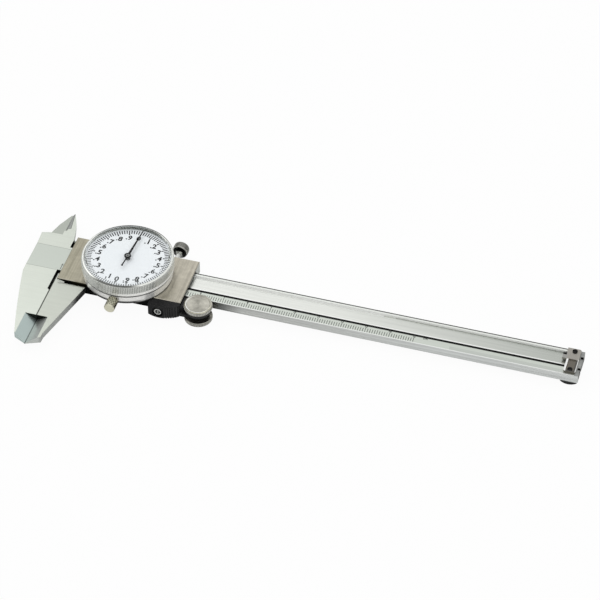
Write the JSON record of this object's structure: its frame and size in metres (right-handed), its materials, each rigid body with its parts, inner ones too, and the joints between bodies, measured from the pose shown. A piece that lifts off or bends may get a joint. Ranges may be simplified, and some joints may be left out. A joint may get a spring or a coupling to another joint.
{
  "type": "dial caliper",
  "caption": "Dial caliper: a ruled beam with outside and inside jaws, a dial slider driven by a rack, a thumb roller, a lock screw and a depth rod.",
  "frame": {"origin": "on the beam's front face and its middle line, in the plane where the two outside jaws meet", "axes": "+X along the beam towards its far end, the way the slider opens; +Y across the beam towards the inside jaws; +Z out of the beam's ruled front face, towards the viewer of the dial"},
  "size_m": [0.2329, 0.0773, 0.0183],
  "materials": {
    "beam_steel": "satin ground",
    "slider_steel": "fine brushed",
    "rack_steel": "dark, in shade",
    "trim_steel": "satin",
    "screw_steel": "plain",
    "pinion_steel": "polished",
    "black_steel": "satin black",
    "nickel": "satin nickel",
    "warm_nickel": "warm nickel",
    "bright_plating": "bright plated",
    "brass": "plain",
    "black_block": "matte black",
    "ring_rubber": "matte",
    "crystal": "clear",
    "dial_white": "matte white",
    "pointer_black": "satin black"
  },
  "bodies": {
    "beam": {"beam": "beam_steel", "rack_strip": "rack_steel", "end_plate": "trim_steel", "end_plate_screw_upper": "screw_steel", "end_plate_screw_lower": "screw_steel", "rear_stop": "black_steel", "stop_screw_upper": "screw_steel", "stop_screw_lower": "screw_steel"},
    "slider": {"slider_frame": "slider_steel", "gib_strip": "brass", "gib_screw_left": "screw_steel", "gib_screw_right": "screw_steel", "rear_cover": "slider_steel", "cover_screw_1": "screw_steel", "cover_screw_2": "screw_steel", "cover_screw_3": "screw_steel", "cover_screw_4": "screw_steel", "depth_rod_screw": "screw_steel", "depth_rod": "beam_steel", "dial_housing": "bright_plating", "housing_screw_1": "screw_steel", "housing_screw_2": "screw_steel", "housing_screw_3": "screw_steel", "bridge": "brass", "bridge_post_1": "brass", "bridge_post_2": "brass", "bridge_post_3": "brass", "bridge_screw_1": "screw_steel", "bridge_screw_2": "screw_steel", "bridge_screw_3": "screw_steel", "thumb_block": "black_block", "thumb_block_screw": "bright_plating"},
    "lock": {"lock_screw": "nickel"},
    "bezel_clamp": {"bezel_clamp_screw": "warm_nickel"},
    "bezel": {"bezel": "bright_plating", "crystal": "crystal", "dial_plate": "dial_white"},
    "pinion": {"rack_pinion": "pinion_steel", "main_wheel": "brass", "takeup_wheel": "brass", "takeup_spring": "pinion_steel"},
    "intermediate": {"intermediate_pinion": "pinion_steel", "intermediate_wheel": "brass"},
    "pointer": {"pointer_arbor": "pinion_steel", "pointer": "pointer_black"},
    "roller": {"roller_knob": "nickel", "drive_ring": "ring_rubber", "roller_lower_flange": "nickel"}
  },
  "joints": [
    {"name": "slider_travel", "type": "slide", "parent": "beam", "child": "slider", "axis": [1, 0, 0], "range_m": [0, 0.15]},
    {"name": "pinion_turn", "type": "hinge", "parent": "slider", "child": "pinion", "pos_m": [0.0347, -0.00086, 0], "axis": [0, 0, 1], "continuous": true},
    {"name": "intermediate_turn", "type": "hinge", "parent": "slider", "child": "intermediate", "pos_m": [0.03019, 0.00247, 0], "axis": [0, 0, 1], "continuous": true},
    {"name": "pointer_turn", "type": "hinge", "parent": "slider", "child": "pointer", "pos_m": [0.0282, -0.0019, 0], "axis": [0, 0, 1], "continuous": true},
    {"name": "roller_turn", "type": "hinge", "parent": "slider", "child": "roller", "pos_m": [0.0615, -0.01215, 0], "axis": [0, 0, 1], "continuous": true},
    {"name": "bezel_turn", "type": "hinge", "parent": "slider", "child": "bezel", "pos_m": [0.0282, -0.0019, 0], "axis": [0, 0, 1], "continuous": true},
    {"name": "bezel_clamp_turn", "type": "hinge", "parent": "slider", "child": "bezel_clamp", "pos_m": [0.0282, -0.022, 0.00325], "axis": [0, 1, 0], "range_deg": [-120, 60]},
    {"name": "lock_turn", "type": "hinge", "parent": "slider", "child": "lock", "pos_m": [0.04345, 0.015, -0.0019], "axis": [0, 1, 0], "range_deg": [-180, 90]}
  ],
  "couplings": [
    {"joint": "pinion_turn", "follows": "slider_travel", "rad_per_m": -628.32},
    {"joint": "intermediate_turn", "follows": "slider_travel", "rad_per_m": 1570.8},
    {"joint": "pointer_turn", "follows": "slider_travel", "rad_per_m": -3141.6},
    {"joint": "roller_turn", "follows": "slider_travel", "rad_per_m": 202.02}
  ]
}
